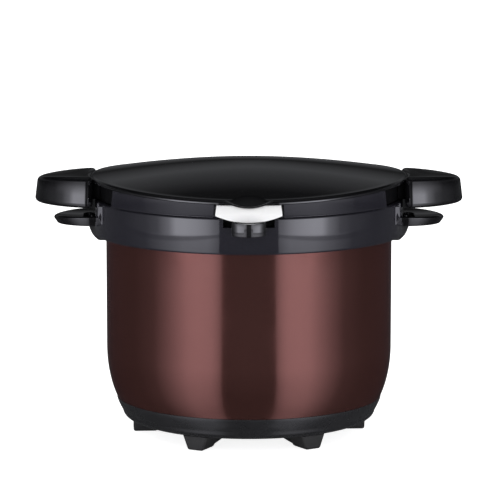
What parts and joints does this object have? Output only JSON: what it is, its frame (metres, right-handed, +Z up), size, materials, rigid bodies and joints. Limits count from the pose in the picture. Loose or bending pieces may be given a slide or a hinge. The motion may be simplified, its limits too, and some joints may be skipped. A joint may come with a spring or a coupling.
{
  "type": "thermal cooker",
  "caption": "Vacuum-insulated thermal cooker with a hinged, latched lid and an inner cooking pot with its own lid.",
  "frame": {"origin": "on the floor under the vessel's vertical axis", "axes": "+Z up, -Y towards the latch (front), +X along the handles, to the viewer's right from the front"},
  "size_m": [0.39, 0.31, 0.2505],
  "materials": {
    "brown_lacquer": "metallic brown lacquer, glossy",
    "gloss_black": "gloss black",
    "satin_black": "satin black",
    "rubber": "matt black",
    "white_plastic": "white, semi-gloss",
    "silicone": "grey silicone",
    "steel": "stainless, brushed",
    "aluminium": "plain",
    "foam": "light insulating filling"
  },
  "bodies": {
    "vessel": {"outer_shell": "brown_lacquer", "shell_bottom": "steel", "inner_liner": "steel", "foil_shield": "aluminium", "collar_seal": "silicone", "base_cover": "satin_black", "base_plate": "steel", "base_screw_1": "steel", "base_screw_2": "steel", "base_screw_3": "steel", "foot_1": "rubber", "foot_2": "rubber", "foot_3": "rubber", "foot_4": "rubber", "foot_5": "rubber", "foot_6": "rubber", "collar": "gloss_black", "hinge_pin": "steel", "ear_handle_left": "gloss_black", "ear_handle_right": "gloss_black", "ear_screw_left_front": "steel", "ear_screw_left_back": "steel", "ear_screw_right_front": "steel", "ear_screw_right_back": "steel"},
    "lid": {"lid_top": "gloss_black", "lid_rim": "gloss_black", "lid_gasket": "silicone", "lid_insulation": "foam", "lid_underplate": "satin_black", "plate_screw_1": "steel", "plate_screw_2": "steel", "plate_screw_3": "steel", "plate_screw_4": "steel", "lid_handle_left": "gloss_black", "lid_handle_right": "gloss_black", "grip_screw_left_front": "steel", "grip_screw_left_back": "steel", "grip_screw_right_front": "steel", "grip_screw_right_back": "steel", "latch_pin": "steel", "latch_spring": "steel"},
    "latch": {"latch_button": "white_plastic", "latch_lever": "gloss_black"},
    "pot": {"pot_body": "steel", "pot_base_disc": "aluminium", "pot_handle_left": "steel", "pot_handle_right": "steel", "pot_bracket_left": "steel", "pot_bracket_right": "steel"},
    "pot_lid": {"pot_lid": "steel", "pot_lid_knob": "satin_black", "knob_screw": "steel"}
  },
  "joints": [
    {"name": "lid_hinge", "type": "hinge", "parent": "vessel", "child": "lid", "pos_m": [0, 0.1496, 0.217], "axis": [-1, 0, 0], "range_deg": [0, 90]},
    {"name": "latch_rock", "type": "hinge", "parent": "lid", "child": "latch", "pos_m": [0, -0.1385, 0.22], "axis": [-1, 0, 0], "range_deg": [0, 9], "stiffness_Nm_per_rad": 0.1, "springref_deg": -20.05},
    {"name": "pot_lift", "type": "slide", "parent": "vessel", "child": "pot", "axis": [0, 0, 1], "range_m": [0, 0.008]},
    {"name": "pot_lid_lift", "type": "slide", "parent": "pot", "child": "pot_lid", "axis": [0, 0, 1], "range_m": [0, 0.006]}
  ]
}
